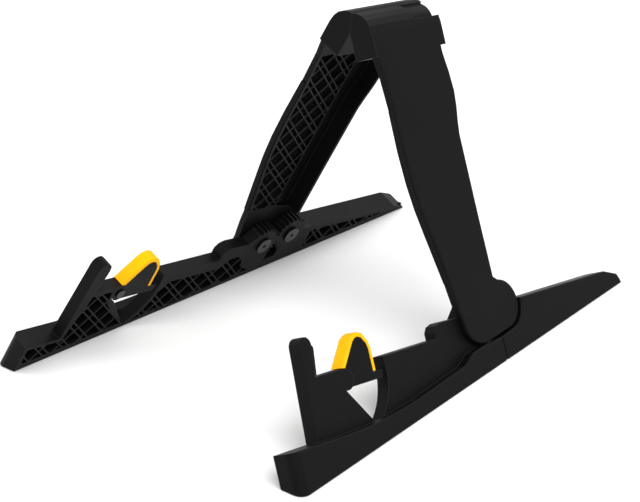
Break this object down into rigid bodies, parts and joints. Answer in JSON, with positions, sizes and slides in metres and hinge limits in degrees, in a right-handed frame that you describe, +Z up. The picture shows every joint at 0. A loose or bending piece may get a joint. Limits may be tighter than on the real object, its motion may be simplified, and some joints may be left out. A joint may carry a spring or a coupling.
{
  "type": "folding guitar stand",
  "caption": "Folding A-frame floor stand for a guitar: moulded legs, geared folding feet, front posts and yellow swing levers.",
  "frame": {"origin": "middle of the footprint on the floor", "axes": "+Y from the front posts towards the rear feet, +X to the right-hand leg seen from the front, +Z up"},
  "size_m": [0.297, 0.4086, 0.2457],
  "materials": {
    "hinge_pin_finish": "brushed steel",
    "left_front_floor_pad_finish": "matt black rubber",
    "left_front_foot_shell_finish": "fine grained moulded plastic",
    "left_front_pivot_pin_finish": "brushed steel",
    "left_leg_rest_strip_finish": "matt black rubber",
    "left_leg_shell_finish": "fine grained moulded plastic",
    "left_lever_core_finish": "fine grained moulded plastic",
    "left_lever_cover_finish": "soft yellow rubber",
    "left_lever_pin_finish": "brushed steel",
    "left_post_rest_strip_finish": "matt black rubber",
    "left_rear_floor_pad_finish": "matt black rubber",
    "left_rear_foot_shell_finish": "fine grained moulded plastic",
    "left_rear_pivot_pin_finish": "brushed steel",
    "right_front_floor_pad_finish": "matt black rubber",
    "right_front_foot_shell_finish": "fine grained moulded plastic",
    "right_front_pivot_pin_finish": "brushed steel",
    "right_leg_rest_strip_finish": "matt black rubber",
    "right_leg_shell_finish": "fine grained moulded plastic",
    "right_lever_core_finish": "fine grained moulded plastic",
    "right_lever_cover_finish": "soft yellow rubber",
    "right_lever_pin_finish": "brushed steel",
    "right_post_rest_strip_finish": "matt black rubber",
    "right_rear_floor_pad_finish": "matt black rubber",
    "right_rear_foot_shell_finish": "fine grained moulded plastic",
    "right_rear_pivot_pin_finish": "brushed steel"
  },
  "bodies": {
    "right_side_leg": {"right_leg_shell": "right_leg_shell_finish", "right_leg_rest_strip": "right_leg_rest_strip_finish", "right_front_pivot_pin": "right_front_pivot_pin_finish", "right_rear_pivot_pin": "right_rear_pivot_pin_finish", "hinge_pin": "hinge_pin_finish"},
    "right_front_foot": {"right_front_foot_shell": "right_front_foot_shell_finish", "right_post_rest_strip": "right_post_rest_strip_finish", "right_lever_pin": "right_lever_pin_finish", "right_front_floor_pad": "right_front_floor_pad_finish"},
    "right_rear_foot": {"right_rear_foot_shell": "right_rear_foot_shell_finish", "right_rear_floor_pad": "right_rear_floor_pad_finish"},
    "right_lever": {"right_lever_core": "right_lever_core_finish", "right_lever_cover": "right_lever_cover_finish"},
    "left_side_leg": {"left_leg_shell": "left_leg_shell_finish", "left_leg_rest_strip": "left_leg_rest_strip_finish", "left_front_pivot_pin": "left_front_pivot_pin_finish", "left_rear_pivot_pin": "left_rear_pivot_pin_finish"},
    "left_front_foot": {"left_front_foot_shell": "left_front_foot_shell_finish", "left_post_rest_strip": "left_post_rest_strip_finish", "left_lever_pin": "left_lever_pin_finish", "left_front_floor_pad": "left_front_floor_pad_finish"},
    "left_rear_foot": {"left_rear_foot_shell": "left_rear_foot_shell_finish", "left_rear_floor_pad": "left_rear_floor_pad_finish"},
    "left_lever": {"left_lever_core": "left_lever_core_finish", "left_lever_cover": "left_lever_cover_finish"}
  },
  "joints": [
    {"name": "leg_fold", "type": "hinge", "parent": "right_side_leg", "child": "left_side_leg", "pos_m": [0, 0.0564, 0.223], "axis": [0, 0.986, -0.1668], "range_deg": [-50, 0]},
    {"name": "right_front_foot_fold", "type": "hinge", "parent": "right_side_leg", "child": "right_front_foot", "pos_m": [0.10546, 0.03191, 0.03026], "axis": [0.9033, 0.0715, 0.4229], "range_deg": [-86, 0]},
    {"name": "right_rear_foot_fold", "type": "hinge", "parent": "right_side_leg", "child": "right_rear_foot", "pos_m": [0.10332, 0.06126, 0.02988], "axis": [0.9033, 0.0715, 0.4229], "range_deg": [0, 86]},
    {"name": "right_lever_swing", "type": "hinge", "parent": "right_front_foot", "child": "right_lever", "pos_m": [0.11147, -0.1181, 0.0428], "axis": [0.9033, 0.0715, 0.4229], "range_deg": [-50, 0]},
    {"name": "left_front_foot_fold", "type": "hinge", "parent": "left_side_leg", "child": "left_front_foot", "pos_m": [-0.10546, 0.03191, 0.03026], "axis": [0.9033, -0.0715, -0.4229], "range_deg": [-86, 0]},
    {"name": "left_rear_foot_fold", "type": "hinge", "parent": "left_side_leg", "child": "left_rear_foot", "pos_m": [-0.10332, 0.06126, 0.02988], "axis": [0.9033, -0.0715, -0.4229], "range_deg": [0, 86]},
    {"name": "left_lever_swing", "type": "hinge", "parent": "left_front_foot", "child": "left_lever", "pos_m": [-0.11147, -0.1181, 0.0428], "axis": [0.9033, -0.0715, -0.4229], "range_deg": [-50, 0]}
  ],
  "couplings": [
    {"joint": "right_rear_foot_fold", "follows": "right_front_foot_fold", "ratio": -1},
    {"joint": "left_rear_foot_fold", "follows": "left_front_foot_fold", "ratio": -1}
  ]
}
